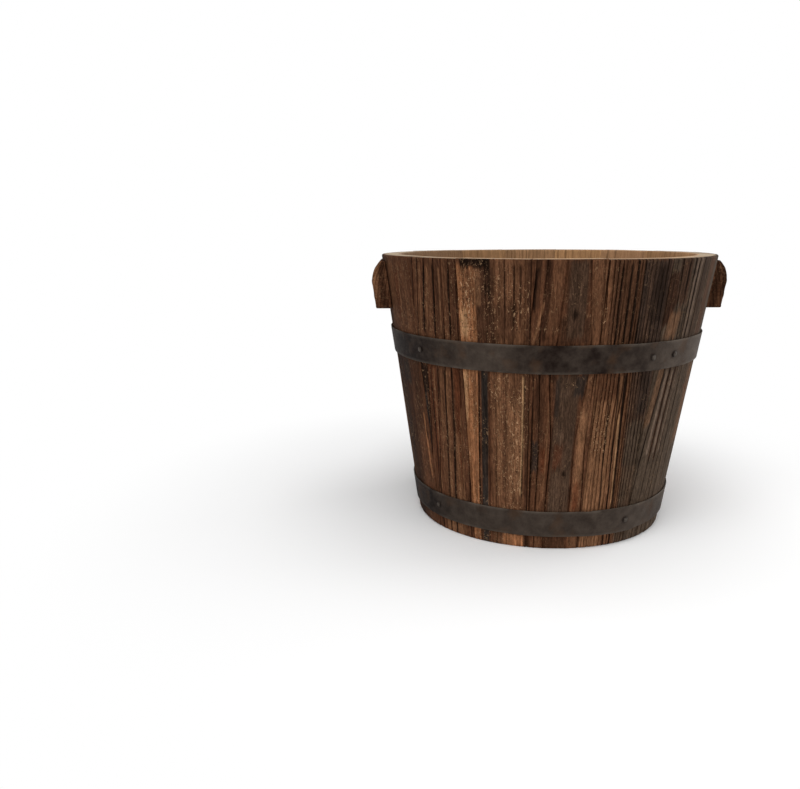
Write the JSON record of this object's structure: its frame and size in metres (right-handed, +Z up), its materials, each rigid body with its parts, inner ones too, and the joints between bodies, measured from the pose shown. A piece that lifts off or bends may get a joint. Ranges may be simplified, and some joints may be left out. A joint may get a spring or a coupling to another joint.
{
  "type": "wooden barrel planter",
  "caption": "Tapered round tub of charred wooden staves with two nailed steel hoops, a planked base with a drain hole and a grip block on each side.",
  "frame": {"origin": "on the floor, at the centre of the tub's foot", "axes": "+Z up the tub's axis; -Y is the front; the grip blocks face +X and -X"},
  "size_m": [0.4008, 0.3796, 0.3075],
  "materials": {
    "stave_wood": "charred and wire-brushed outside, sanded bare inside",
    "base_wood": "rough sawn, bare",
    "grip_wood": "charred and wire-brushed",
    "hoop_steel": "dark aged steel strap, matte",
    "nail_steel": "dark steel, domed by the hammer",
    "screw_steel": "dull zinc plated"
  },
  "bodies": {
    "root": {"stave_01": "stave_wood", "stave_02": "stave_wood", "stave_03": "stave_wood", "stave_04": "stave_wood", "stave_05": "stave_wood", "stave_06": "stave_wood", "stave_07": "stave_wood", "stave_08": "stave_wood", "stave_09": "stave_wood", "stave_10": "stave_wood", "stave_11": "stave_wood", "stave_12": "stave_wood", "stave_13": "stave_wood", "stave_14": "stave_wood", "stave_15": "stave_wood", "stave_16": "stave_wood", "base_board_1": "base_wood", "base_board_2": "base_wood", "base_board_3": "base_wood", "base_board_4": "base_wood", "base_board_5": "base_wood", "upper_hoop": "hoop_steel", "lower_hoop": "hoop_steel", "upper_hoop_nail_1": "nail_steel", "upper_hoop_nail_2": "nail_steel", "upper_hoop_nail_3": "nail_steel", "upper_hoop_nail_4": "nail_steel", "upper_hoop_nail_5": "nail_steel", "lower_hoop_nail_1": "nail_steel", "lower_hoop_nail_2": "nail_steel", "lower_hoop_nail_3": "nail_steel", "lower_hoop_nail_4": "nail_steel", "right_grip_block": "grip_wood", "left_grip_block": "grip_wood", "right_grip_screw_1": "screw_steel", "right_grip_screw_2": "screw_steel", "left_grip_screw_1": "screw_steel", "left_grip_screw_2": "screw_steel"}
  },
  "joints": []
}
